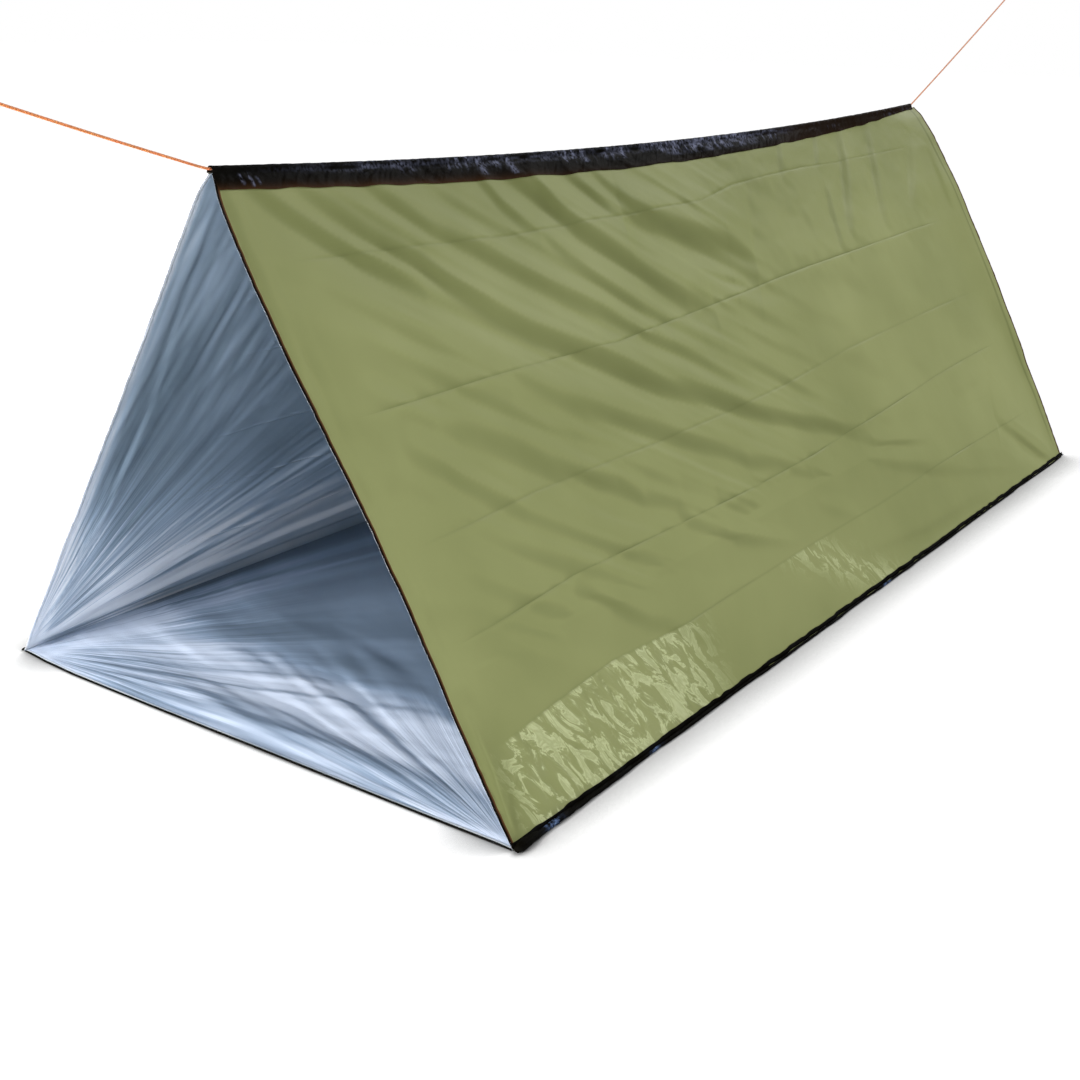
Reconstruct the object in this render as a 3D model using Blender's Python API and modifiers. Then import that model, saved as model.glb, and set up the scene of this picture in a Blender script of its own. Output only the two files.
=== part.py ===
"""Emergency tube tent: one flat film tube pitched over a ridge cord, with its folds as hinges.

X runs across the tent, Y along it with the front opening at -Y, and Z up. The origin is the middle of the
floor, on the ground. Every length is in metres.
"""

import math

import bmesh
import bpy
from mathutils import Matrix, Vector

# Driving dimensions of the film tube
TENT_LENGTH = 2.438
LAY_FLAT_WIDTH = 1.524
FLOOR_WIDTH = 1.048
FILM_THICKNESS = 0.0012
RIDGE_SAG = 0.030

# How the tube lies when the ridge is let down
FOLDED_SKIRT_TILT = math.radians(1.5)
FOLDED_RIDGE_HEIGHT = 0.042

# Cord, sleeve and black trim
CORD_DIAMETER = 0.004
SLEEVE_WALL = 0.0007
SLEEVE_CLEARANCE = 0.0004
BAND_WIDTH_FRONT = 0.031
BAND_WIDTH_MIDDLE = 0.044
BAND_WIDTH_REAR = 0.011
TRIM_THICKNESS = 0.0005
BINDING_WIDTH = 0.006
FLOOR_STRIP_WIDTH = 0.010

# Free ends of the cord, each in the vertical plane of the ridge
CORD_EXIT = 0.004
KNOT_LENGTH = 0.016
KNOT_DIAMETER = 0.011
LOOP_LENGTH = 0.060
LOOP_WIDTH = 0.024
LOOP_STEPS = 32

# Clearances
GAP = 0.0003
FOLD_END = 0.0004
CORD_END_GAP = 0.0006

# Points of the two taut lines, as distance out from the ridge end and rise above it
FRONT_LINE_ROUTE = [
    (0.0, 0.0),
    (0.020, 0.0052),
    (0.060, 0.0170),
    (0.110, 0.0318),
    (0.170, 0.0498),
    (0.230, 0.0682),
    (0.290, 0.0868),
    (0.345, 0.1040),
]
REAR_LINE_ROUTE = [
    (0.0, 0.0),
    (0.020, 0.0079),
    (0.070, 0.0288),
    (0.140, 0.0583),
    (0.220, 0.0922),
    (0.300, 0.1263),
    (0.380, 0.1607),
    (0.460, 0.1953),
    (0.540, 0.2302),
    (0.620, 0.2653),
    (0.700, 0.3007),
]

# Fineness of the meshes
LENGTH_STEPS = 24
SLOPE_STEPS = 4
CORD_STEP_DIAMETERS = 3
CORD_BEVEL_RESOLUTION = 2

# Name, colour, roughness and metallic value of each finish
FINISHES = {
    "olive_film": ((0.27, 0.31, 0.13, 1.0), 0.45, 0.0),
    "silver_film": ((0.52, 0.57, 0.65, 1.0), 0.25, 0.9),
    "black_film": ((0.012, 0.012, 0.014, 1.0), 0.20, 0.0),
    "orange_cord": ((0.80, 0.25, 0.03, 1.0), 0.70, 0.0),
}

# Sizes that follow from the driving dimensions
WALL_LENGTH = (2 * LAY_FLAT_WIDTH - FLOOR_WIDTH) / 2
WALL_ANGLE = math.acos(FLOOR_WIDTH / 2 / WALL_LENGTH)
BASE_AXIS_HEIGHT = (
    FILM_THICKNESS
    + GAP
    - FOLD_END * math.sin(WALL_ANGLE)
    + FILM_THICKNESS / 2 * math.cos(WALL_ANGLE)
)
FLOOR_SETBACK = math.hypot(FOLD_END, FILM_THICKNESS / 2) + GAP
RIDGE_HEIGHT = BASE_AXIS_HEIGHT + WALL_LENGTH * math.sin(WALL_ANGLE)
KNEE_INSET = FILM_THICKNESS / 2 + GAP
SLEEVE_INNER_RADIUS = CORD_DIAMETER / 2 + GAP
SLEEVE_OUTER_RADIUS = SLEEVE_INNER_RADIUS + SLEEVE_WALL
WALL_TOP = WALL_LENGTH - SLEEVE_OUTER_RADIUS - SLEEVE_CLEARANCE
TRIM_MIDDLE = FILM_THICKNESS / 2 + GAP + TRIM_THICKNESS / 2
BINDING_THICKNESS = FILM_THICKNESS + TRIM_THICKNESS
BINDING_MIDDLE = TRIM_THICKNESS / 2
HALF_LENGTH = TENT_LENGTH / 2
FILM_END = HALF_LENGTH - BINDING_WIDTH - GAP


def knee_slope():
    """Slope distance of the knee fold at which the ridge reaches the middle of the floor when let down."""
    across = FLOOR_WIDTH / 2 - KNEE_INSET * math.sin(FOLDED_SKIRT_TILT)
    rise = FOLDED_RIDGE_HEIGHT - BASE_AXIS_HEIGHT - KNEE_INSET * math.cos(FOLDED_SKIRT_TILT)
    lean = across * math.cos(FOLDED_SKIRT_TILT) - rise * math.sin(FOLDED_SKIRT_TILT)
    spare = WALL_LENGTH**2 + KNEE_INSET**2 - across**2 - rise**2
    return spare / (2 * (WALL_LENGTH + lean))


KNEE_SLOPE = knee_slope()


def ridge_drop(y):
    """How far the slack ridge hangs below its two ends."""
    return RIDGE_SAG * (1 - (y / HALF_LENGTH) ** 2)


def ridge_point(y):
    """A point on the middle of the ridge cord."""
    return Vector((0, y, RIDGE_HEIGHT - ridge_drop(y)))


def wall_point(side, slope, y, proud=0.0):
    """A point slope up a wall from its bottom fold, and proud outside the middle of the film."""
    above_knee = max(0.0, (slope - KNEE_SLOPE) / (WALL_TOP - KNEE_SLOPE))
    x = FLOOR_WIDTH / 2 - slope * math.cos(WALL_ANGLE) + proud * math.sin(WALL_ANGLE)
    z = BASE_AXIS_HEIGHT + slope * math.sin(WALL_ANGLE) + proud * math.cos(WALL_ANGLE)
    return Vector((side * x, y, z - ridge_drop(y) * above_knee))


def band_width(y):
    """Width of the black ridge band, a curve through its front, middle and rear widths."""
    t = y / HALF_LENGTH
    front = BAND_WIDTH_FRONT * t * (t - 1) / 2
    rear = BAND_WIDTH_REAR * t * (t + 1) / 2
    return front + BAND_WIDTH_MIDDLE * (1 - t * t) + rear


def between(start, end, share):
    return start + (end - start) * share


def clear_scene():
    for old in list(bpy.data.objects):
        bpy.data.objects.remove(old, do_unlink=True)


def new_collection(name):
    collection = bpy.data.collections.new(name)
    bpy.context.scene.collection.children.link(collection)
    return collection


def own_material(node, finish):
    colour, roughness, metallic = FINISHES[finish]
    material = bpy.data.materials.new(f"{node}_{finish}")
    material.use_nodes = True
    shader = material.node_tree.nodes["Principled BSDF"]
    shader.inputs["Base Color"].default_value = colour
    shader.inputs["Roughness"].default_value = roughness
    shader.inputs["Metallic"].default_value = metallic
    material.diffuse_color = colour
    return material


class Axis:
    """An empty on a joint's axis, which carries the pieces that turn about it."""

    def __init__(self, collection, name, place, parent=None):
        self.collection = collection
        self.place = Vector(place)
        self.empty = bpy.data.objects.new(name, None)
        self.empty.location = self.place - (parent.place if parent else Vector())
        self.empty.parent = parent.empty if parent else None
        collection.objects.link(self.empty)

    def carry(self, name, data, finish):
        """Adds a piece whose points were given in the tent's own frame."""
        data.transform(Matrix.Translation(-self.place))
        data.materials.append(own_material(name, finish))
        piece = bpy.data.objects.new(name, data)
        piece.parent = self.empty
        self.collection.objects.link(piece)
        return piece


def film(axis, name, finish, place, thickness, across=1, along=LENGTH_STEPS):
    """A thin sheet whose middle is place(u, v), with u and v from 0 to 1."""
    grid = bmesh.new()
    bmesh.ops.create_grid(grid, x_segments=across, y_segments=along, size=0.5)
    for vertex in grid.verts:
        vertex.co = place(vertex.co.x + 0.5, vertex.co.y + 0.5)
    mesh = bpy.data.meshes.new(name)
    grid.to_mesh(mesh)
    grid.free()
    piece = axis.carry(name, mesh, finish)
    wall = piece.modifiers.new("Film", "SOLIDIFY")
    wall.thickness = thickness
    wall.offset = 0.0
    return piece


def cord_curve(name, points, radius, capped=True):
    curve = bpy.data.curves.new(name, "CURVE")
    curve.dimensions = "3D"
    curve.bevel_depth = radius
    curve.bevel_resolution = CORD_BEVEL_RESOLUTION
    curve.use_fill_caps = capped
    spline = curve.splines.new("POLY")
    spline.points.add(len(points) - 1)
    for stop, point in zip(spline.points, points):
        stop.co = (*point, 1.0)
    spline.use_smooth = True
    return curve


def smooth_route(route, step):
    """Points about step apart along a smooth curve through the route's own points."""
    ends = [2 * route[0] - route[1]] + route + [2 * route[-1] - route[-2]]
    points = []
    for before, start, end, after in zip(ends, ends[1:], ends[2:], ends[3:]):
        count = max(1, round((end - start).length / step))
        for i in range(count):
            t = i / count
            points.append(
                (
                    2 * start
                    + (end - before) * t
                    + (2 * before - 5 * start + 4 * end - after) * t**2
                    + (3 * start - before - 3 * end + after) * t**3
                )
                / 2
            )
    return points + [route[-1]]


def build_floor(base):
    half = FLOOR_WIDTH / 2 - FLOOR_SETBACK

    def lower_film(low, high):
        def place(u, v):
            return Vector((between(-half, half, u), between(low, high, v), FILM_THICKNESS / 2))

        return place

    film(base, "floor_sheet", "silver_film", lower_film(-FILM_END, FILM_END), FILM_THICKNESS)
    for end, sign in (("front", -1), ("rear", 1)):
        edge = sorted((sign * (HALF_LENGTH - BINDING_WIDTH), sign * HALF_LENGTH))
        film(base, f"floor_{end}_hem", "black_film", lower_film(*edge), FILM_THICKNESS, along=1)


def wall_place(side, low, high, near, far, proud=0.0):
    """Places the sheet of a wall between two slopes and two ends."""

    def place(u, v):
        y = between(near, far, v)
        return wall_point(side, between(low(y), high(y), u), y, proud)

    return place


def build_wall_part(axis, name, side, low, high):
    """A film panel of one wall, with the black binding along both of its open ends."""

    def bottom(y):
        return low

    def top(y):
        return high

    middle = wall_place(side, bottom, top, -FILM_END, FILM_END)
    film(axis, name, "olive_film", middle, FILM_THICKNESS, across=SLOPE_STEPS)
    for end, sign in (("front", -1), ("rear", 1)):
        near, far = sorted((sign * (HALF_LENGTH - BINDING_WIDTH), sign * HALF_LENGTH))
        edge = wall_place(side, bottom, top, near, far, BINDING_MIDDLE)
        film(axis, f"{name}_{end}_binding", "black_film", edge, BINDING_THICKNESS, SLOPE_STEPS, 1)


def build_floor_strip(axis, name, side):
    """The black floor film's welded edge, which stands against the foot of a wall."""
    place = wall_place(
        side, lambda y: FOLD_END, lambda y: FLOOR_STRIP_WIDTH, -FILM_END, FILM_END, TRIM_MIDDLE
    )
    film(axis, name, "black_film", place, TRIM_THICKNESS)


def build_ridge_band(axis, name, side):
    """The black band that lies on the top of a wall, under the ridge."""
    place = wall_place(
        side, lambda y: WALL_TOP - band_width(y), lambda y: WALL_TOP, -FILM_END, FILM_END, TRIM_MIDDLE
    )
    film(axis, name, "black_film", place, TRIM_THICKNESS)


def build_ridge(ridge):
    steps = [between(-1, 1, i / LENGTH_STEPS) for i in range(LENGTH_STEPS + 1)]
    reach = HALF_LENGTH + CORD_EXIT - CORD_END_GAP
    cord = cord_curve("ridge_cord", [ridge_point(s * reach) for s in steps], CORD_DIAMETER / 2)
    ridge.carry("ridge_cord", cord, "orange_cord")

    middle_radius = (SLEEVE_INNER_RADIUS + SLEEVE_OUTER_RADIUS) / 2
    path = cord_curve("sleeve_path", [ridge_point(s * HALF_LENGTH) for s in steps], middle_radius, False)
    guide = bpy.data.objects.new("sleeve_path", path)
    mesh = bpy.data.meshes.new_from_object(guide)
    bpy.data.objects.remove(guide, do_unlink=True)
    mesh.name = "ridge_sleeve"
    skin = bmesh.new()
    skin.from_mesh(mesh)
    bmesh.ops.remove_doubles(skin, verts=skin.verts, dist=0.00001)
    skin.to_mesh(mesh)
    skin.free()
    mesh.shade_smooth()
    sleeve = ridge.carry("ridge_sleeve", mesh, "black_film")
    wall = sleeve.modifiers.new("Film", "SOLIDIFY")
    wall.thickness = SLEEVE_WALL
    wall.offset = 0.0


def build_line(axis, end, sign, route):
    """A taut line from the ridge to its tied loop."""

    def out(distance, rise):
        return axis.place + Vector((0, sign * distance, rise))

    points = smooth_route([out(*stop) for stop in route], CORD_STEP_DIAMETERS * CORD_DIAMETER)
    heading = (points[1] - points[0]).normalized()
    points[0] = points[0] + heading * CORD_END_GAP
    line = cord_curve(f"{end}_guy_line", points, CORD_DIAMETER / 2)
    axis.carry(f"{end}_guy_line", line, "orange_cord")

    heading = (points[-1] - points[-2]).normalized()
    beside = Vector((1, 0, 0)).cross(heading)
    middle = points[-1] + heading * (GAP + KNOT_LENGTH / 2)
    build_knot(axis, f"{end}_line_knot", middle, heading)
    build_loop(axis, f"{end}_line_loop", middle, heading, beside)


def build_knot(axis, name, middle, heading):
    turn = Vector((0, 0, 1)).rotation_difference(heading).to_matrix().to_4x4()
    body = bmesh.new()
    bmesh.ops.create_uvsphere(body, u_segments=12, v_segments=8, radius=0.5)
    bmesh.ops.scale(body, vec=(KNOT_DIAMETER, KNOT_DIAMETER, KNOT_LENGTH), verts=body.verts)
    bmesh.ops.transform(body, matrix=Matrix.Translation(middle) @ turn, verts=body.verts)
    mesh = bpy.data.meshes.new(name)
    body.to_mesh(mesh)
    body.free()
    mesh.shade_smooth()
    axis.carry(name, mesh, "orange_cord")


def build_loop(axis, name, middle, heading, beside):
    """A rounded loop, both ends of which meet the knot."""
    first = math.asin((CORD_DIAMETER + 4 * GAP) / LOOP_WIDTH)
    start = middle + heading * (KNOT_LENGTH / 2 + GAP)
    points = []
    for i in range(LOOP_STEPS + 1):
        turn = between(first, 2 * math.pi - first, i / LOOP_STEPS)
        along = LOOP_LENGTH / 2 * (math.cos(first) - math.cos(turn))
        points.append(start + heading * along + beside * LOOP_WIDTH / 2 * math.sin(turn))
    loop = cord_curve(name, points, CORD_DIAMETER / 2)
    axis.carry(name, loop, "orange_cord")


def build_side(hand, side, skirt_axis, wall_axis):
    """One side of the tent: its skirt below the knee fold, its wall above it, and their black trim."""
    build_wall_part(skirt_axis, f"{hand}_skirt", side, FOLD_END, KNEE_SLOPE - GAP / 2)
    build_wall_part(wall_axis, f"{hand}_wall", side, KNEE_SLOPE + GAP / 2, WALL_TOP)
    build_floor_strip(skirt_axis, f"{hand}_floor_strip", side)
    build_ridge_band(wall_axis, f"{hand}_ridge_band", side)


def main():
    clear_scene()
    tent = new_collection("emergency_tent")

    # The folds run from the floor up the right side, over the ridge and down the left side
    base = Axis(tent, "floor_base", (0, 0, 0))
    right_base = Axis(tent, "right_base_axis", (FLOOR_WIDTH / 2, 0, BASE_AXIS_HEIGHT), base)
    right_knee = Axis(tent, "right_knee_axis", wall_point(1, KNEE_SLOPE, 0, -KNEE_INSET), right_base)
    ridge = Axis(tent, "ridge_line_axis", (0, 0, RIDGE_HEIGHT), right_knee)
    left_ridge = Axis(tent, "left_ridge_axis", ridge.place, right_knee)
    left_knee = Axis(tent, "left_knee_axis", wall_point(-1, KNEE_SLOPE, 0, -KNEE_INSET), left_ridge)

    build_floor(base)
    build_side("right", 1, right_base, right_knee)
    build_side("left", -1, left_knee, left_ridge)
    build_ridge(ridge)
    for end, sign, route in (("front", -1, FRONT_LINE_ROUTE), ("rear", 1, REAR_LINE_ROUTE)):
        pivot = ridge_point(sign * (HALF_LENGTH + CORD_EXIT))
        build_line(Axis(tent, f"{end}_line_axis", pivot, ridge), end, sign, route)


main()
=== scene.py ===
from functools import partial

import bmesh
import bpy
import numpy as np
from mathutils import Matrix, Vector


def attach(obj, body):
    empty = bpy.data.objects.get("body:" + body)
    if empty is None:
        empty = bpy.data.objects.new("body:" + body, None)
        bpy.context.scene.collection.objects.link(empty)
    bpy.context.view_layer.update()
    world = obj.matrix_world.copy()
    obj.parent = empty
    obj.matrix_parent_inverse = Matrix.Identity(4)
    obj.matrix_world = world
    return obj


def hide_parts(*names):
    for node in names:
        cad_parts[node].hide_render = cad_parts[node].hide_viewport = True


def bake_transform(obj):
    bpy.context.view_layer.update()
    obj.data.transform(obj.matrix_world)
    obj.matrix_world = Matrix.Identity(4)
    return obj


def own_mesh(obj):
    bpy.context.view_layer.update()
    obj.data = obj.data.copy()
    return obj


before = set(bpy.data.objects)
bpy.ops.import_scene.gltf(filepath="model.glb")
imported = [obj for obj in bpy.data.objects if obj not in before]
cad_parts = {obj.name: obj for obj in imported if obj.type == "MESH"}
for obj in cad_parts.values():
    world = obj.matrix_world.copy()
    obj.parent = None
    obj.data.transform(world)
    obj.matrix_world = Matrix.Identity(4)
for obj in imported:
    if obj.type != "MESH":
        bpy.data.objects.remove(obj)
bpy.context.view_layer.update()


# Camera. It stands in front and to the right of the tent, a little above the height of the ridge, where
# the tent's five visible corners fall where the photograph has them.
eye = Vector((1.5216, -2.6082, 1.0650))
turn, rise, roll = np.radians((34.848, 19.897, 1.552))
back = Vector((np.sin(turn) * np.cos(rise), -np.cos(turn) * np.cos(rise), np.sin(rise)))
level = (-back).cross(Vector((0, 0, 1))).normalized()
upward = level.cross(-back)
across = level * np.cos(roll) + upward * np.sin(roll)
upright = upward * np.cos(roll) - level * np.sin(roll)
bpy.ops.object.camera_add(location=eye)
camera = bpy.context.object
camera.matrix_world = Matrix.Translation(eye) @ Matrix((across, upright, back)).transposed().to_4x4()
camera.data.lens = 48.874
camera.data.sensor_width = 36.0
camera.data.clip_start = 0.05
camera.data.clip_end = 60.0
bpy.context.scene.camera = camera


# Ridge cord and its two free ends. One 4 mm braided orange cord runs under the ridge. At each end it
# leaves the tent taut, and is tied into a small loop for a tree, post or hook.
cord_diameter = 0.004
half_length = 1.219
ridge_height = 0.853192
cord_exit = 0.004
front_route = [
    (0.0006, 0.00016), (0.020, 0.0052), (0.060, 0.0170), (0.110, 0.0318), (0.170, 0.0498),
    (0.230, 0.0682), (0.290, 0.0868), (0.345, 0.1040),
]
rear_route = [
    (0.0006, 0.00023), (0.020, 0.0079), (0.070, 0.0288), (0.140, 0.0583), (0.220, 0.0922),
    (0.300, 0.1263), (0.380, 0.1607), (0.460, 0.1953), (0.540, 0.2302), (0.620, 0.2653), (0.700, 0.3007),
]


def even_points(points, step):
    """Points a step apart along a smooth curve through the given ones."""
    ends = [2 * points[0] - points[1]] + points + [2 * points[-1] - points[-2]]
    fine = []
    for before, start, end, after in zip(ends, ends[1:], ends[2:], ends[3:]):
        count = max(1, round((end - start).length / step))
        for i in range(count):
            t = i / count
            bend = 2 * before - 5 * start + 4 * end - after
            twist = 3 * start - before - 3 * end + after
            fine.append((2 * start + (end - before) * t + bend * t**2 + twist * t**3) / 2)
    return fine + [points[-1]]


def braided_tube(name, path, radius, sides=12):
    """A cord's skin: a tube whose eight strands stand a little proud as they wind round it."""
    tube = bmesh.new()
    lay = tube.loops.layers.uv.new("Cord")
    rings, lengths, length, side = [], [], 0.0, None
    for i, point in enumerate(path):
        ahead = (path[min(i + 1, len(path) - 1)] - path[max(i - 1, 0)]).normalized()
        if side is None:
            side = ahead.cross(Vector((0, 0, 1)) if abs(ahead.z) < 0.9 else Vector((1, 0, 0))).normalized()
        side = (side - ahead * side.dot(ahead)).normalized()
        other = ahead.cross(side)
        if i:
            length += (point - path[i - 1]).length
        lengths.append(length)
        ring = []
        for k in range(sides):
            angle = 2 * np.pi * k / sides
            strand = 0.5 * np.cos(4 * angle + length * 900) + 0.5 * np.cos(4 * angle - length * 900)
            reach = radius * (0.97 + 0.05 * strand)
            ring.append(tube.verts.new(point + (side * np.cos(angle) + other * np.sin(angle)) * reach))
        rings.append(ring)
    for i in range(len(rings) - 1):
        for k in range(sides):
            j = (k + 1) % sides
            face = tube.faces.new((rings[i][k], rings[i][j], rings[i + 1][j], rings[i + 1][k]))
            marks = ((k, i), (k + 1, i), (k + 1, i + 1), (k, i + 1))
            for loop, (u, v) in zip(face.loops, marks):
                loop[lay].uv = (u / sides, lengths[v])
    tube.faces.new(list(reversed(rings[0])))
    tube.faces.new(rings[-1])
    bmesh.ops.recalc_face_normals(tube, faces=tube.faces)
    mesh = bpy.data.meshes.new(name)
    tube.to_mesh(mesh)
    tube.free()
    mesh.shade_smooth()
    piece = bpy.data.objects.new(name, mesh)
    bpy.context.collection.objects.link(piece)
    return piece


def set_inputs(node, inputs):
    """Give each named input of a shader node its value, or join it to another node's output."""
    for name, value in inputs.items():
        if isinstance(value, bpy.types.NodeSocket):
            node.id_data.links.new(value, node.inputs[name])
        else:
            node.inputs[name].default_value = value


def add_node(tree, kind, output, inputs=None, **settings):
    """Add a shader node, and return one of its outputs."""
    node = tree.nodes.new("ShaderNode" + kind)
    for name, value in settings.items():
        setattr(node, name, value)
    set_inputs(node, inputs or {})
    return node.outputs[output]


def new_finish(name):
    """A new material, and what adds a node to it."""
    finish = bpy.data.materials.new(name)
    finish.use_nodes = True
    return finish, partial(add_node, finish.node_tree)


cord_finish, add = new_finish("orange braided cord")
strands = add("Mapping", "Vector", {
    "Vector": add("TexCoord", "UV"), "Scale": (8.0, 290.0, 1.0), "Rotation": (0, 0, 0.785)})
weave = add("TexChecker", "Color", {
    "Vector": strands, "Scale": 1.0, "Color1": (0.78, 0.235, 0.035, 1), "Color2": (0.58, 0.150, 0.020, 1)})
fade = add("TexNoise", "Color", {"Vector": add("TexCoord", "Object"), "Scale": 60.0})
tint = add("Mix", "Result", {"Factor": 0.35, "A": weave, "B": fade}, data_type="RGBA", blend_type="MULTIPLY")
raised = add("Bump", "Normal", {"Strength": 0.5, "Distance": 0.0004, "Height": weave.node.outputs["Fac"]})
set_inputs(cord_finish.node_tree.nodes["Principled BSDF"], {
    "Base Color": tint, "Roughness": 0.62, "Sheen Weight": 0.25, "Sheen Roughness": 0.5, "Normal": raised})

for end, sign, route in (("front", -1, front_route), ("rear", 1, rear_route)):
    start_y, start_z = sign * (half_length + cord_exit), ridge_height + 0.000197
    stops = [Vector((0, start_y + sign * out, start_z + up)) for out, up in route]
    path = even_points(stops, 0.0012)
    line = braided_tube(f"{end}_line", path, cord_diameter / 2)
    heading = (path[-1] - path[-2]).normalized()
    beside = Vector((1, 0, 0))
    other = heading.cross(beside)

    # The knot is the cord wound three and a half times round itself
    knot_middle = path[-1] + heading * 0.0083
    wound = []
    for i in range(85):
        share = i / 84
        angle = share * 7 * np.pi
        waist = 0.0035 * (0.80 + 0.20 * np.sin(np.pi * share))
        turn_out = (beside * np.cos(angle) + other * np.sin(angle)) * waist
        wound.append(knot_middle + heading * (share - 0.5) * 0.0115 + turn_out)
    knot = braided_tube(f"{end}_knot", wound, cord_diameter / 2 * 0.92)
    loop_start = knot_middle + heading * 0.0060
    eyelet = []
    for i in range(61):
        angle = 0.22 + (2 * np.pi - 0.44) * i / 60
        along = 0.0300 * (np.cos(0.22) - np.cos(angle))
        eyelet.append(loop_start + heading * along + beside * 0.0120 * np.sin(angle))
    loop = braided_tube(f"{end}_loop", even_points(eyelet, 0.0012), cord_diameter / 2)
    for piece, node in ((line, f"{end}_guy_line"), (knot, f"{end}_line_knot"), (loop, f"{end}_line_loop")):
        piece.data.materials.append(cord_finish)
        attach(piece, f"{end}_line")
        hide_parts(node)
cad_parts["ridge_cord"].data.materials.clear()
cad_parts["ridge_cord"].data.materials.append(cord_finish)


# Film tube. The tent is one tube of thin plastic film, olive green outside and metal coated inside. It is
# pitched over the cord, and is still creased in long straight lines from being folded into its packet.
floor_width = 1.048
wall_angle = np.radians(58.399)
wall_foot = 0.0014737
knee_at = 0.2376866
wall_top = 0.9966
film_top = 0.9925
ridge_sag = 0.030
film_thickness = 0.0004


def wall_points(side, y, s, proud):
    """Points s up a wall from its foot and proud outside it, on the slack shape of the ridge."""
    above_knee = np.clip((s - knee_at) / (wall_top - knee_at), 0, None)
    x = floor_width / 2 - s * np.cos(wall_angle) + proud * np.sin(wall_angle)
    z = wall_foot + s * np.sin(wall_angle) + proud * np.cos(wall_angle)
    z = z - ridge_sag * (1 - (y / half_length) ** 2) * above_knee
    return np.stack([side * x, y + 0 * x, z], -1)


def soft_noise(u, v, seed):
    """Smooth seeded unevenness from -1 to 1, with about one hump to each unit of u and v."""
    lattice = np.random.default_rng(seed).uniform(-1, 1, (64, 64))
    i, j = np.floor(u).astype(int), np.floor(v).astype(int)
    a, b = u - i, v - j
    a, b = a**3 * (a * (a * 6 - 15) + 10), b**3 * (b * (b * 6 - 15) + 10)
    low = lattice[i % 64, j % 64] * (1 - a) + lattice[(i + 1) % 64, j % 64] * a
    high = lattice[i % 64, (j + 1) % 64] * (1 - a) + lattice[(i + 1) % 64, (j + 1) % 64] * a
    return low * (1 - b) + high * b


def near_to(offset, width):
    """1 where the offset is 0, falling to nothing at about twice the width."""
    return np.exp(-((offset / width) ** 2))


def ease(value, start, end):
    t = np.clip((value - start) / (end - start), 0, 1)
    return t * t * (3 - 2 * t)


def fall(value, start, end):
    return 1 - ease(value, start, end)


def soft_fold(u, v, half_width, steepness, route):
    """Height of a long soft fold along a route: a steep flank that eases out on both sides and at both ends."""
    lengths = [np.hypot(b[0] - a[0], b[1] - a[1]) for a, b in zip(route, route[1:])]
    nearest = np.full(u.shape, np.inf)
    offset, share, passed = np.zeros(u.shape), np.zeros(u.shape), 0.0
    for (u0, v0), (u1, v1), length in zip(route, route[1:], lengths):
        du, dv = (u1 - u0) / length, (v1 - v0) / length
        run = np.clip((u - u0) * du + (v - v0) * dv, 0, length)
        out_u, out_v = u - u0 - run * du, v - v0 - run * dv
        gap = np.hypot(out_u, out_v)
        closer = gap < nearest
        nearest = np.where(closer, gap, nearest)
        offset = np.where(closer, gap * np.sign(du * out_v - dv * out_u), offset)
        share = np.where(closer, (passed + run) / sum(lengths), share)
        passed += length
    across = offset / half_width
    return steepness * half_width * np.sin(np.pi * share) ** 0.6 * across / (1 + across**2) * near_to(across, 5)


# Places of the packing creases up the wall, from the front opening to the rear one
crease_y = [-1.219, -1.04, -0.86, -0.65, -0.49, -0.25, 0.00, 0.15, 0.31, 0.48, 0.68, 0.90, 1.219]
crease_s = [
    [0.124, 0.139, 0.150, 0.139, 0.141, 0.143, 0.143, 0.141, 0.143, 0.148, 0.149, 0.149, 0.149],
    [0.276, 0.284, 0.295, 0.293, 0.292, 0.291, 0.296, 0.305, 0.311, 0.320, 0.332, 0.339, 0.342],
    [0.424, 0.429, 0.439, 0.440, 0.440, 0.443, 0.451, 0.461, 0.472, 0.477, 0.482, 0.485, 0.487],
    [0.620, 0.625, 0.631, 0.634, 0.632, 0.646, 0.659, 0.668, 0.675, 0.679, 0.683, 0.687, 0.688],
    [0.858, 0.859, 0.859, 0.856, 0.861, 0.864, 0.867, 0.890, 0.897, 0.901, 0.898, 0.898, 0.893],
]


def crease_at(k, y):
    return np.interp(y, crease_y, crease_s[k])


def crease_depth(y, s, fade_front, fade_rear, depth=0.0011):
    """The narrow dents of the packing creases, which die out towards the open ends."""
    strength = ease(y, fade_front - 0.06, fade_front + 0.06) * fall(y, fade_rear - 0.1, fade_rear + 0.1)
    total = np.zeros(y.shape)
    for k in range(5):
        broken = 0.75 + 0.45 * soft_noise(y / 0.09, 0 * y, 40 + k)
        offset = s - crease_at(k, y)
        total -= depth * strength * broken * np.exp(-np.abs(offset) / 0.0016)
        total += 0.0004 * strength * np.exp(-np.abs(offset) / 0.022)
    return total


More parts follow.
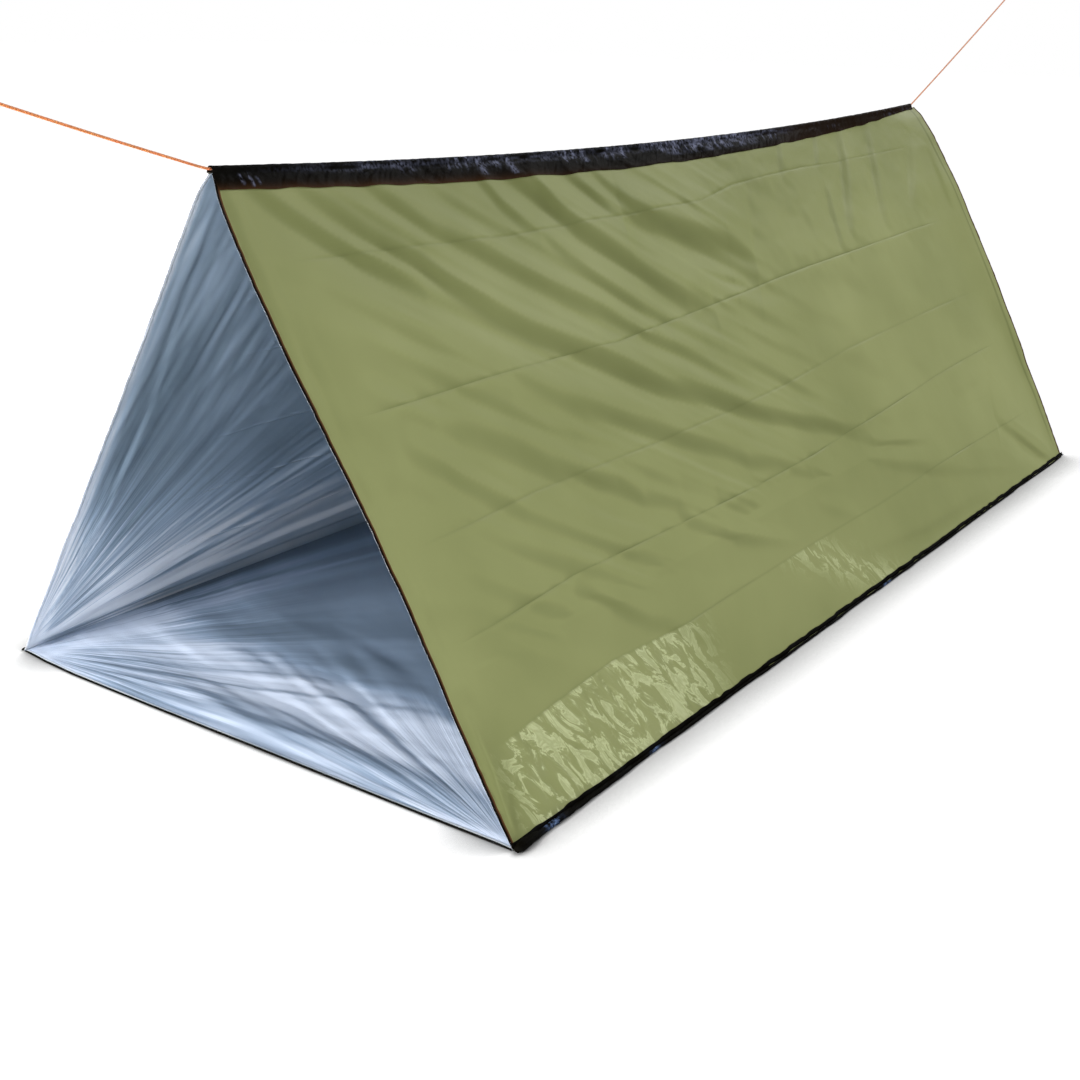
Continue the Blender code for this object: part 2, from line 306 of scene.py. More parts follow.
# Folds in the right wall, as half width, steepness and the route's places along and up the wall
right_folds = [
    (0.015, 0.40, [(-1.098, 0.985), (-0.977, 0.887), (-0.896, 0.839), (-0.848, 0.790), (-0.767, 0.726),
        (-0.703, 0.685), (-0.622, 0.645), (-0.558, 0.613), (-0.477, 0.565), (-0.413, 0.532),
        (-0.316, 0.492), (-0.219, 0.452), (-0.106, 0.403), (0.007, 0.363), (0.136, 0.318),
        (0.250, 0.290)]),
    (0.011, 0.26, [(-1.185, 0.990), (-1.114, 0.923), (-1.058, 0.879), (-1.009, 0.847), (-0.900, 0.795)]),
    (0.013, 0.26, [(-0.960, 0.985), (-0.832, 0.879), (-0.751, 0.843), (-0.654, 0.782), (-0.574, 0.734),
        (-0.493, 0.690), (-0.413, 0.641), (-0.340, 0.601), (-0.225, 0.555)]),
    (0.013, 0.18, [(-0.565, 0.860), (-0.517, 0.806), (-0.461, 0.758), (-0.404, 0.710), (-0.364, 0.677),
        (-0.290, 0.640)]),
    (0.011, 0.20, [(-0.670, 0.985), (-0.630, 0.911), (-0.598, 0.879), (-0.560, 0.850)]),
    (0.018, 0.34, [(-0.600, 0.990), (-0.525, 0.927), (-0.493, 0.895), (-0.445, 0.847), (-0.388, 0.806),
        (-0.332, 0.766), (-0.267, 0.718), (-0.203, 0.677), (-0.120, 0.645)]),
    (0.009, 0.20, [(-0.540, 0.985), (-0.517, 0.955), (-0.493, 0.911), (-0.470, 0.880)]),
    (0.012, 0.16, [(-0.430, 0.985), (-0.364, 0.919), (-0.324, 0.871), (-0.280, 0.840)]),
    (0.012, 0.16, [(-0.340, 0.980), (-0.300, 0.927), (-0.251, 0.879), (-0.190, 0.850)]),
    (0.026, 0.30, [(-0.290, 0.870), (-0.146, 0.823), (-0.074, 0.798), (0.031, 0.766), (0.110, 0.720)]),
    (0.006, 0.22, [(-0.110, 0.735), (-0.040, 0.700), (0.040, 0.672)]),
    (0.016, 0.24, [(-0.800, 0.620), (-0.703, 0.560), (-0.654, 0.532), (-0.574, 0.500), (-0.493, 0.468),
        (-0.380, 0.411), (-0.316, 0.379), (-0.251, 0.339), (-0.171, 0.315), (-0.050, 0.290)]),
    (0.015, 0.22, [(-1.000, 0.595), (-0.921, 0.548), (-0.856, 0.508), (-0.800, 0.468), (-0.735, 0.435),
        (-0.671, 0.395), (-0.610, 0.345)]),
    (0.013, 0.15, [(-0.740, 0.438), (-0.654, 0.403), (-0.606, 0.355), (-0.500, 0.318)]),
    (0.010, 0.20, [(-1.100, 0.560), (-1.034, 0.516), (-1.009, 0.492), (-0.961, 0.460), (-0.900, 0.425)]),
    (0.006, 0.16, [(-0.985, 0.535), (-0.930, 0.490), (-0.880, 0.450)]),
    (0.006, 0.14, [(-0.760, 0.535), (-0.687, 0.492), (-0.600, 0.450)]),
    (0.015, 0.25, [(-0.880, 0.285), (-0.808, 0.226), (-0.775, 0.194), (-0.735, 0.165), (-0.695, 0.149),
        (-0.622, 0.105), (-0.550, 0.070)]),
    (0.013, 0.30, [(-0.540, 0.290), (-0.461, 0.242), (-0.396, 0.214), (-0.332, 0.194), (-0.251, 0.165),
        (-0.130, 0.130)]),
    (0.017, 0.16, [(-0.400, 0.292), (-0.267, 0.250), (-0.171, 0.218), (-0.090, 0.185), (0.060, 0.135)]),
    (0.015, 0.14, [(-0.280, 0.295), (-0.090, 0.266), (0.007, 0.234), (0.120, 0.190)]),
    (0.018, 0.18, [(0.050, 0.270), (0.192, 0.218), (0.354, 0.169), (0.442, 0.141), (0.555, 0.113),
        (0.676, 0.089), (0.797, 0.065), (0.918, 0.040), (1.020, 0.015)]),
    (0.009, 0.14, [(0.100, 0.310), (0.273, 0.250), (0.442, 0.214), (0.520, 0.200)]),
    (0.012, 0.18, [(-0.080, 0.090), (0.112, 0.060), (0.313, 0.040), (0.555, 0.036), (0.700, 0.028)]),
    (0.014, 0.42, [(0.890, 0.165), (0.975, 0.113), (1.039, 0.065), (1.104, 0.018), (1.135, -0.015)]),
    (0.015, 0.22, [(0.760, 0.985), (0.717, 0.903), (0.660, 0.823), (0.604, 0.758), (0.575, 0.715)]),
    (0.014, 0.18, [(0.930, 0.985), (0.880, 0.905), (0.838, 0.830), (0.797, 0.758), (0.780, 0.710)]),
    (0.016, 0.14, [(1.140, 0.930), (1.104, 0.895), (1.039, 0.815), (0.960, 0.735)]),
    (0.010, 0.16, [(1.185, 0.880), (1.176, 0.820), (1.168, 0.750), (1.166, 0.700)]),
    (0.011, 0.16, [(0.575, 0.850), (0.547, 0.798), (0.515, 0.718), (0.500, 0.690)]),
    (0.009, 0.14, [(0.450, 0.990), (0.410, 0.940), (0.370, 0.880)]),
    (0.009, 0.14, [(0.640, 0.990), (0.600, 0.940), (0.560, 0.890)]),
    (0.010, 0.15, [(0.730, 0.260), (0.850, 0.272), (0.990, 0.288)]),
    (0.006, 0.50, [(-1.212, -0.020), (-1.200, 0.040), (-1.190, 0.100), (-1.186, 0.190)]),
]


def front_edge(side, s):
    """Where the front edge of a wall runs. The right one bows forwards in its upper half."""
    at_cord = 1 - near_to(wall_top - s, 0.03)
    if side > 0:
        return -half_length - 0.0145 * near_to(s - 0.82, 0.24) * at_cord
    return -half_length - 0.0045 * (1 - near_to(s, 0.05)) * at_cord


def rear_edge(side, s):
    if side > 0:
        return half_length + 0.026 * ease(s, 0.20, 0.75) - 0.008 * ease(s, 0.85, 1.0) - 0.022 * near_to(s, 0.12)
    return half_length + 0.010 * near_to(s - 0.60, 0.18)


def rear_flare(y, s):
    """How far the slack rear end of the right wall stands out, most in its upper half."""
    reach = np.interp(s, [0, 0.05, 0.15, 0.30, 0.50, 0.75, 0.90, 0.97, 1.0],
                      [0.003, 0.004, 0.006, 0.0125, 0.018, 0.022, 0.018, 0.013, 0.010])
    return reach * near_to(y - rear_edge(1, s), 0.030 + 0.10 * ease(s, 0.25, 0.70))


def crumple(y, s):
    """How much the strip along the right foot is crumpled, strongest behind the front corner."""
    below = fall(s, crease_at(0, y) - 0.004, crease_at(0, y) + 0.002)
    front = ease(y, -1.20, -1.13) * fall(y, -0.70, -0.55)
    streak = 0.8 * near_to(y + 0.10 + 1.9 * (s - 0.09), 0.07)
    return below * np.clip(front + streak, 0, 1)


def held_back(proud, s, loose):
    """What the film shows of its slack: none along the floor's edge and the cord, and little in its lower half.

    Low down it keeps within the room that the folded tent leaves it, with loose more outside above the knee.
    """
    inside = 0.0004 + 0.022 * np.abs(s - knee_at)
    outside = np.where(s < knee_at, 0.0012 + 0.026 * np.maximum(s, 0), 0.0074) + loose * ease(s, 0.25, 0.35)
    held_flat = (1 - near_to(s, 0.016)) * (1 - near_to(wall_top + 0.002 - s, 0.022))
    return held_flat * np.where(s < 0.48, np.clip(proud, -inside, outside), proud)


def right_proud(y, s):
    """How far the right wall stands outside the flat wall."""
    proud = 0.0030 * soft_noise(y / 0.42 + 3.2, s / 0.30 + 1.7, 1)
    proud += 0.0008 * soft_noise(y / 0.11 + 0.55 * s / 0.11, s / 0.06 + 9, 2)
    slant = s + 0.62 * y
    streaks = ease(y, -1.15, -0.95) * fall(y, -0.1, 0.3) * ease(s, 0.15, 0.3)
    proud += 0.0006 * streaks * soft_noise(slant / 0.014, (y - 0.62 * s) / 0.16, 3)
    proud += 0.0018 * streaks * soft_noise(slant / 0.034, (y - 0.62 * s) / 0.30, 8)
    proud += 0.00035 * soft_noise(y / 0.030, s / 0.022, 4) * ease(s, 0.55, 0.7) * ease(y, -0.2, 0.2)
    upright = 0.0006 * soft_noise(y / 0.008, s / 0.17, 5)
    proud += upright * (near_to(y + half_length, 0.035) + near_to(y - half_length, 0.035))
    for half_width, steepness, route in right_folds:
        proud += soft_fold(y, s, 1.35 * half_width, 1.5 * steepness, route)
    proud += crease_depth(y, s, -1.10, 1.02)
    crumpled = crumple(y, s)
    wrinkle = 1 - 2 * np.abs(soft_noise((y + 0.50 * s) / 0.024, (s - 0.35 * y) / 0.085, 6))
    fine = soft_noise((y + 0.35 * s) / 0.010, s / 0.016, 7)
    proud += crumpled * (0.0016 * wrinkle + 0.0006 * fine)
    proud += rear_flare(y, s)
    return held_back(proud, s, 0.012)


def from_corner(u, v):
    """Direction from a corner at (0, 0), as a share of the right angle there, and distance from it."""
    return np.arctan2(v, np.maximum(u, 1e-5)) / (np.pi / 2), np.hypot(u, v)


def corner_fan(u, v, seed, rays, reach, steepness):
    """Wrinkles that fan out from a corner at (0, 0), where the film is pulled to its peg or cord.

    They are strongest within about 30 degrees of the edge that v is measured from.
    """
    angle, distance = from_corner(u, v)
    broad = soft_noise(angle * rays + 0.4, distance / 0.50, seed) * ease(distance, 0.02, 0.12)
    fine = soft_noise(angle * rays * 2.6, distance / 0.22, seed + 1) * ease(distance, 0.10, 0.30)
    spread = distance * np.pi / 2 / rays
    fade = near_to(distance, reach) * (0.22 + 0.78 * fall(angle, 0.22, 0.45))
    return steepness * spread * fade * (0.42 * broad + 0.16 * fine)


# Folds in the left wall, in the same form
left_folds = [
    (0.014, -0.60, [(-1.200, 0.004), (-1.05, 0.018), (-0.85, 0.028), (-0.60, 0.034), (-0.30, 0.040), (0.3, 0.040)]),
    (0.014, 0.65, [(-1.215, 0.006), (-1.05, 0.036), (-0.85, 0.060), (-0.60, 0.078), (-0.30, 0.090), (0.3, 0.09)]),
    (0.012, 0.40, [(-1.210, 0.010), (-1.05, 0.075), (-0.85, 0.130), (-0.60, 0.180), (-0.30, 0.210)]),
    (0.009, 0.36, [(-1.210, 0.010), (-1.10, 0.060), (-0.95, 0.125), (-0.75, 0.190), (-0.55, 0.240)]),
    (0.007, 0.36, [(-1.212, 0.015), (-1.13, 0.095), (-1.03, 0.180), (-0.90, 0.270)]),
    (0.006, 0.45, [(-1.214, 0.020), (-1.185, 0.150), (-1.16, 0.330), (-1.15, 0.55), (-1.17, 0.80)]),
    (0.008, 0.22, [(-1.213, 0.020), (-1.16, 0.110), (-1.10, 0.240), (-1.03, 0.400)]),
]


def left_proud(y, s):
    """How far the left wall stands outside the flat wall. Its inside is what the front opening shows."""
    low, ahead = s, y + half_length
    proud = 0.0030 * soft_noise(y / 0.45 + 7.7, s / 0.35 + 2.1, 11)
    proud += 0.0007 * soft_noise(y / 0.12, s / 0.07, 12)
    proud += corner_fan(ahead, low, 13, 22, 1.00, 0.50)
    proud += corner_fan(half_length - y, low, 15, 18, 0.90, 0.35)
    proud += corner_fan(ahead, wall_top - s, 17, 14, 0.50, 0.30)
    proud += corner_fan(half_length - y, wall_top - s, 19, 14, 0.50, 0.30)
    upright = 0.0012 * soft_noise(y / 0.013, s / 0.30, 21)
    proud += upright * near_to(ahead, 0.05)
    hang = 0.0009 * soft_noise((y - 0.18 * s) / 0.012, s / 0.09, 22)
    proud += hang * ease(s, 0.40, 0.55) * fall(y, -1.0, -0.7)
    for half_width, steepness, route in left_folds:
        proud += soft_fold(y, s, half_width, steepness, route)
    proud += crease_depth(y, s, -0.95, 1.02, 0.0009)
    return held_back(proud, s, 0.003)


def left_painted_light(y, s):
    """How pale the silver skin of the left wall is painted, from 0 to 1: painted reflection, pale near the front
    corner and in rays and streaks that run out from it and along the front edge, and painted shade along the foot.
    """
    ahead = y + half_length
    angle, distance = from_corner(ahead, s)
    painted_light = 0.38 + 0.36 * near_to(distance, 0.26) + 0.03 * ease(s, 0.55, 0.85)
    painted_light += 0.26 * fall(s, 0.08, 0.42) * ease(ahead, 0.06, 0.30)
    length = 0.26 + 0.34 * fall(angle, 0.12, 0.40) + 0.10 * ease(angle, 0.75, 0.95)
    rays = soft_noise(angle * 30, distance / 0.30, 91) * near_to(distance, length)
    painted_light += 0.32 * rays * ease(distance, 0.05, 0.13)
    painted_light += 0.30 * np.clip(soft_noise(angle * 52, distance / 0.22, 90), 0, 1) * np.exp(-((distance / length) ** 4)) \
        * ease(distance, 0.10, 0.20)
    streak = 0.016 + 0.185 * ahead
    painted_light += 0.42 * near_to(s - streak, 0.008 + 0.024 * ahead) * (1 - 0.8 * ease(ahead, 0.30, 0.90))
    painted_light += 0.35 * near_to(ahead, 0.014) + 0.16 * soft_noise(ahead / 0.011, s / 0.4, 92) * near_to(ahead, 0.06)
    painted_light += 0.10 * soft_noise((y - 0.12 * s) / 0.016, s / 0.16, 93) * ease(s, 0.45, 0.65) * fall(ahead, 0.12, 0.35)
    painted_light -= 0.18 * near_to(s, 0.006 + 0.040 * ahead) * ease(ahead, 0.02, 0.10)
    return painted_light


def new_piece(name, corners, faces, marks):
    """A smooth mesh object. marks holds named values for its points, which the finishes read."""
    mesh = bpy.data.meshes.new(name)
    mesh.from_pydata(corners.reshape(-1, 3).tolist(), [], faces)
    mesh.shade_smooth()
    for mark, values in marks.items():
        attribute = mesh.attributes.new(mark, "FLOAT", "POINT")
        attribute.data.foreach_set("value", values.ravel().astype(np.float32))
    piece = bpy.data.objects.new(name, mesh)
    bpy.context.collection.objects.link(piece)
    return piece


def lay_film(name, points, uv, pull, marks, out, thickness=film_thickness):
    """A thin sheet through a grid of points, with an outer skin, an inner skin and closed edges.

    Row by row the points run up, and column by column along; out is 1 or -1 for which face is the outer one.
    uv lays the film out flat, and pull holds direction and distance from the nearest corner.
    """
    rows, columns = points.shape[:2]
    up = np.gradient(points, axis=0)
    along = np.gradient(points, axis=1)
    outward = np.cross(along, up)
    outward *= out / np.linalg.norm(outward, axis=-1, keepdims=True)
    count = rows * columns
    corners = np.stack([points + outward * thickness / 2, points - outward * thickness / 2])
    index = np.arange(count).reshape(rows, columns)
    a, b = index[:-1, :-1].ravel(), index[:-1, 1:].ravel()
    c, d = index[1:, 1:].ravel(), index[1:, :-1].ravel()
    outer = np.stack([a, b, c, d] if out > 0 else [a, d, c, b], 1)
    inner = outer[:, [0, 3, 2, 1]] + count
    rim = np.concatenate([index[0, :], index[1:, -1], index[-1, -2::-1], index[-2:0:-1, 0]])
    ahead = np.roll(rim, -1)
    edge = np.stack([ahead, rim, rim + count, ahead + count], 1)
    if out < 0:
        edge = edge[:, ::-1]
    faces = np.concatenate([outer, inner, edge])
    both_skins = {mark: np.stack([values] * 2) for mark, values in marks.items()}
    piece = new_piece(name, corners, faces.tolist(), both_skins)
    mesh = piece.data
    inside = np.zeros(len(faces), dtype=np.int32)
    inside[len(outer):len(outer) + len(inner)] = 1
    mesh.polygons.foreach_set("material_index", inside)
    ends = np.zeros(2 * len(mesh.edges), dtype=np.int32)
    mesh.edges.foreach_get("vertices", ends)
    ends = ends.reshape(-1, 2)
    at_rim = np.zeros(2 * count, dtype=bool)
    at_rim[rim] = at_rim[rim + count] = True
    same_skin = (ends[:, 0] < count) == (ends[:, 1] < count)
    sharp = mesh.attributes.new("sharp_edge", "BOOLEAN", "EDGE")
    sharp.data.foreach_set("value", at_rim[ends].all(1) & same_skin)
    for layer_name, places in (("Film", uv), ("Pull", pull)):
        flat = np.concatenate([places.reshape(-1, 2)] * 2)
        layer = mesh.uv_layers.new(name=layer_name)
        layer.data.foreach_set("uv", flat[faces.ravel()].astype(np.float32).ravel())
    mesh.validate()
    return piece


def pull_from(u, v):
    return np.stack(from_corner(np.maximum(u, 1e-5), np.maximum(v, 0)), -1)


def steps_between(count, tight=0.012):
    """Shares from 0 to 1 that crowd at both ends, where the film is creased."""
    return np.concatenate([[0, tight, 2.4 * tight], np.linspace(4.5 * tight, 1 - 4.5 * tight, count),
                           [1 - 2.4 * tight, 1 - tight, 1]])


def wall_grid(side, low, high, shares, columns):
    """y and s of a grid of points between two heights up a wall, which are functions of y."""
    share, along = shares[:, None], np.linspace(0, 1, columns)[None, :]
    y = -half_length + 2 * half_length * along + 0 * share
    for _ in range(3):
        s = low(y) + (high(y) - low(y)) * share
        y = front_edge(side, s) + (rear_edge(side, s) - front_edge(side, s)) * along
    return y, s


def wall_film(name, side, y, s, proud):
    """A length of a wall's film through the points y, s."""
    crease = np.zeros(y.shape)
    for k in range(5):
        crease = np.maximum(crease, near_to(s - crease_at(k, y), 0.0022))
    crease *= ease(y, -1.16, -1.04) * fall(y, 0.95, 1.12)
    height = proud(y, s)
    slope = np.gradient(height, axis=0) / np.gradient(s, axis=0)
    # The silver is painted paler where its face turns upwards and darker where it turns down: painted reflection and
    # shade, added on the left wall to its own painted light
    painted_light = np.clip((left_painted_light(y, s) if side < 0 else 0.40 + 0 * y) + np.clip(0.55 * slope, -0.22, 0.22), 0, 1)
    crumpled = crumple(y, s) * (side > 0)
    # The shade mark is painted shade: it darkens the olive on slopes that turn away from the key lamp, towards the
    # cord, near the foot, and in a line just inside the right wall's rear edge
    turned = 0.90 * np.gradient(height, axis=1) / np.gradient(y, axis=1) + 0.43 * slope
    for _ in range(4):
        turned[1:-1] = (turned[:-2] + 2 * turned[1:-1] + turned[2:]) / 4
        turned[:, 1:-1] = (turned[:, :-2] + 2 * turned[:, 1:-1] + turned[:, 2:]) / 4
    turned = np.maximum(turned, 0)
    shade = turned / (turned + 0.10) * ease(s, 0.10, 0.22) * (1 - 0.6 * ease(y, 0.45, 0.80)) * fall(y, 0.95, 1.10)
    shade += 0.30 * ease(s, 0.70, 0.95) + 0.20 * fall(s, 0.05, 0.32)
    turn_in = 0.024 + 0.010 * s
    if side > 0:
        shade += 0.9 * near_to(rear_edge(side, s) - y - turn_in, 0.0035) * ease(s, 0.02, 0.12)
    marks = {"crease": crease, "crumple": crumpled, "painted_light": painted_light, "shade": shade}
    pull = pull_from(half_length - np.abs(y), s)
    piece = lay_film(name, wall_points(side, y, s, height), np.stack([y, s], -1), pull, marks, side)
    piece.data.materials.append(olive)
    piece.data.materials.append(silver)
    return piece


def add_ramp(add, value, *stops, **settings):
    """Colours for a value, each stop with its place."""
    socket = add("ValToRGB", "Color", {"Fac": value}, **settings)
    elements = socket.node.color_ramp.elements
    for _ in stops[2:]:
        elements.new(0.5)
    for element, (place, colour) in zip(elements, stops):
        element.position = place
        element.color = (*colour, 1)
    return socket


def multiply(add, first, second):
    return add("Math", "Value", {0: first, 1: second}, operation="MULTIPLY")


def mix(add, share, first, second):
    return add("Mix", "Result", {"Factor": share, "A": first, "B": second}, data_type="RGBA")


def mark(add, name):
    return add("Attribute", "Fac", attribute_name=name)


# Olive skin of the film: a satin coat of colour, darkened with painted shade along the packing creases and in its
# folds, with paler facets on the crumpled strip that are partly worn film and partly painted highlights
olive, add = new_finish("olive film")
place = add("TexCoord", "Object")
cloud = add("TexNoise", "Fac", {"Vector": place, "Scale": 3.0, "Detail": 3.0})
tones = add_ramp(add, cloud, (0.30, (0.250, 0.275, 0.111)), (0.72, (0.308, 0.333, 0.142)))
crease_shaded = mix(add, multiply(add, mark(add, "crease"), 0.35), tones, (0.200, 0.225, 0.090, 1))
crumpled = mark(add, "crumple")
# Paler facets on the crumpled strip: partly worn film, partly painted highlights where the facets catch the light
slanted = add("Mapping", "Vector", {"Vector": add("TexCoord", "UV")}, vector_type="TEXTURE")
set_inputs(slanted.node, {"Rotation": (0, 0, 0.52), "Scale": (0.025, 0.066, 1)})
facets = add("TexNoise", "Fac", {
    "Vector": slanted, "Scale": 1.0, "Detail": 5.0, "Roughness": 0.62, "Distortion": 0.9})
steps = (0.45, 0.05), (0.51, 0.20), (0.53, 0.90), (0.58, 0.40), (0.66, 0.75)
pale_facets = add_ramp(add, facets, *((stop, (level,) * 3) for stop, level in steps))
worn_and_highlit = mix(add, multiply(add, pale_facets, crumpled), crease_shaded, (0.61, 0.66, 0.37, 1))
# Painted shade: the shade mark draws the olive towards a deep olive
folded = mix(add, multiply(add, mark(add, "shade"), 0.50), worn_and_highlit, (0.075, 0.090, 0.026, 1))
gloss = add("MapRange", "Result", {"Value": crumpled, "To Min": 0.38, "To Max": 0.13})
grain = add("TexNoise", "Fac", {"Vector": place, "Scale": 260.0, "Detail": 2.0})
ripple = add("TexNoise", "Fac", {"Vector": place, "Scale": 34.0, "Detail": 4.0})
rough = add("Math", "Value", {0: grain, 1: 0.12, 2: ripple}, operation="MULTIPLY_ADD")
relief = add("Bump", "Normal", {"Strength": 0.35, "Distance": 0.0012, "Height": rough})
set_inputs(olive.node_tree.nodes["Principled BSDF"], {
    "Base Color": folded, "Roughness": gloss, "Specular IOR Level": 0.012, "Normal": relief})

# Silver skin of the film: a thin metal coat, bluish and dull. It is covered in fine wrinkles, and in finer rays that
# run out from the corners. The rays are painted into its colour as streaks of painted reflection that make the film
# near the corners paler, over the painted reflection and shade that each piece's mark holds.
silver, add = new_finish("silver film")
cloud = add("TexNoise", "Fac", {"Vector": add("TexCoord", "Object"), "Scale": 5.0, "Detail": 4.0})
cloud_and_painted_light = add("Math", "Value", {0: cloud, 1: 0.22, 2: mark(add, "painted_light")}, operation="MULTIPLY_ADD")
pulled = add("SeparateXYZ", "X", {"Vector": add("UVMap", "UV", uv_map="Pull")})
distance = pulled.node.outputs["Y"]
across = add("SeparateXYZ", "X", {"Vector": add("TexCoord", "Object")})
ray_place = add("CombineXYZ", "Vector", {
    "X": multiply(add, pulled, 76.0), "Y": multiply(add, distance, 3.0), "Z": multiply(add, across, 2.0)})
rays = add("TexNoise", "Fac", {"Vector": ray_place, "Scale": 1.0, "Detail": 3.0, "Roughness": 0.6})
near = add("MapRange", "Result", {"Value": distance}, interpolation_type="SMOOTHSTEP")
set_inputs(near.node, {"From Min": 0.02, "From Max": 0.60, "To Min": 0.70, "To Max": 0.0})
# Painted reflection: the rays make the colour paler and darker in streaks near the corners
ray_reflection = add("MapRange", "Result", {"Value": rays})
set_inputs(ray_reflection.node, {"From Min": 0.30, "From Max": 0.70, "To Min": -0.55, "To Max": 0.55})
streaked = add("Math", "Value", {0: ray_reflection, 1: near, 2: cloud_and_painted_light}, operation="MULTIPLY_ADD")
tones = add_ramp(
    add, streaked, (0.08, (0.05, 0.075, 0.10)), (0.38, (0.165, 0.225, 0.275)),
    (0.66, (0.43, 0.53, 0.63)), (1.0, (0.96, 0.975, 1.0)), name="tones")
drawn = add("Mapping", "Vector", {
    "Vector": add("TexCoord", "UV"), "Scale": (1.0, 0.45, 1.0), "Rotation": (0, 0, 0.5)})
ripple = add("TexNoise", "Fac", {"Vector": drawn}, noise_type="RIDGED_MULTIFRACTAL")
set_inputs(ripple.node, {"Scale": 26.0, "Detail": 4.0, "Distortion": 0.4})
relief = add("Bump", "Normal", {"Strength": 0.35, "Distance": 0.0010, "Height": ripple})
ray_relief = add("Bump", "Normal", {
    "Strength": near, "Distance": 0.010, "Height": multiply(add, rays, distance), "Normal": relief})
set_inputs(silver.node_tree.nodes["Principled BSDF"], {
    "Base Color": tones, "Metallic": 0.48, "Roughness": 0.30, "Normal": ray_relief})


# The two sides. The film of each stands from the floor to the cord. It is laid here in four lengths, which
# meet along the packing creases: the foot, the knee where it folds outwards, and two lengths of wall.
def fold_at_knee(piece, side):
    """Bake the place of a piece that crosses the knee into its mesh."""
    if side > 0:
        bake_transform(piece)
    else:
        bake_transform(piece)


sides = ((1, "right", right_proud), (-1, "left", left_proud))
for side, hand, proud in sides:
    columns = 640 if side > 0 else 520
    lines = [lambda y, k=k: crease_at(k, y) for k in range(5)]
    lines = [lambda y: 0 * y, *lines, lambda y: film_top + 0 * y]
    before_knee, after_knee = [lambda y, d=d: knee_at + d + 0 * y for d in (-0.011, 0.011)]

    def film_between(name, *spans):
        """A length of film over the spans, each of which is its two edges and its rows' places between them."""
        grids = [wall_grid(side, low, high, shares if i == 0 else shares[1:], columns)
                 for i, (low, high, shares) in enumerate(spans)]
        y, s = [np.concatenate(part) for part in zip(*grids)]
        return wall_film(f"{hand}_{name}", side, y, s, proud)

    foot = film_between("foot_film", (lines[0], lines[1], steps_between(32, 0.010)))
    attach(foot, f"{hand}_foot")
    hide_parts(f"{hand}_skirt")

    # The rows lie close together where the film rolls round the knee
    knee = film_between(
        "knee_film",
        (lines[1], before_knee, steps_between(12, 0.02)),
        (before_knee, after_knee, np.linspace(0, 1, 15)),
        (after_knee, lines[2], steps_between(8, 0.03)),
    )
    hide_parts(f"{hand}_skirt", f"{hand}_wall")
    fold_at_knee(knee, side)

    steps = steps_between(26, 0.012)
    lower = film_between("lower_film", (lines[2], lines[3], steps), (lines[3], lines[4], steps))
    upper = film_between("upper_film", (lines[4], lines[5], steps_between(30, 0.010)),
                         (lines[5], lines[6], steps_between(18, 0.016)))
    for piece, rest in ((lower, f"{hand}_knee_film"), (upper, "ridge_cord")):
        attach(piece, f"{hand}_side")
        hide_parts(f"{hand}_wall")


# Floor. The third side of the tube lies on the ground, coated inside like the walls and black underneath.
# The pull on the front corners gathers it into wrinkles that fan out from them.
floor_folds = [
    (0.022, 0.40, [(0.515, -1.200), (0.30, -1.150), (0.05, -1.120), (-0.20, -1.110), (-0.40, -1.130)]),
    (0.016, 0.42, [(0.512, -1.190), (0.33, -1.105), (0.10, -1.040), (-0.15, -1.000), (-0.30, -0.995)]),
    (0.018, 0.36, [(0.515, -1.185), (0.38, -1.060), (0.20, -0.950), (0.00, -0.870), (-0.20, -0.820)]),
    (0.012, 0.34, [(0.518, -1.180), (0.43, -1.020), (0.32, -0.870), (0.18, -0.740), (0.05, -0.66)]),
    (0.012, 0.30, [(-0.515, -1.190), (-0.40, -1.100), (-0.25, -1.020), (-0.05, -0.950)]),
    (0.010, 0.34, [(-0.518, -1.180), (-0.44, -1.050), (-0.32, -0.900), (-0.16, -0.760)]),
]


def floor_front(x):
    """Where the floor's front edge lies: it bows forwards between its two pegged corners."""
    return np.interp(x, [-0.524, -0.46, -0.38, -0.20, 0.0, 0.20, 0.36, 0.48, 0.524],
                     [-1.2195, -1.2265, -1.2300, -1.2290, -1.2270, -1.2240, -1.2220, -1.2200, -1.2190])


def floor_height(x, y):
    """How high the floor film stands off the ground."""
    ahead = y - floor_front(x)
    height = 0.0030 + 0.0018 * soft_noise(x / 0.21 + 5, y / 0.33 + 5, 31) * ease(ahead, 0.01, 0.10)
    in_middle = np.clip(1 - (x / 0.50) ** 2, 0, 1)
    height += 0.0060 * near_to(ahead - 0.050 - 0.018 * soft_noise(x / 0.17, 0 * x, 35), 0.026) * in_middle
    height += 0.006 * near_to(half_length - y, 0.13) * in_middle
    height += corner_fan(floor_width / 2 - x, ahead, 32, 24, 0.75, 0.26)
    height += corner_fan(floor_width / 2 + x, ahead, 34, 24, 0.60, 0.28)
    height += corner_fan(floor_width / 2 - x, half_length - y, 36, 18, 0.70, 0.35)
    height += corner_fan(floor_width / 2 + x, half_length - y, 38, 18, 0.70, 0.35)
    height += 0.0008 * soft_noise((y + 0.12 * x) / 0.020, x / 0.55, 33) * np.exp(-ahead / 0.3)
    for half_width, steepness, route in floor_folds:
        height += soft_fold(x, y, half_width, 0.36 * steepness, route)
    at_side = 1 - near_to(floor_width / 2 - np.abs(x), 0.016)
    at_front = 0.35 + 0.65 * ease(ahead, 0.0, 0.018)
    return 0.0011 + np.maximum(height, 0.0003) * at_side * at_front


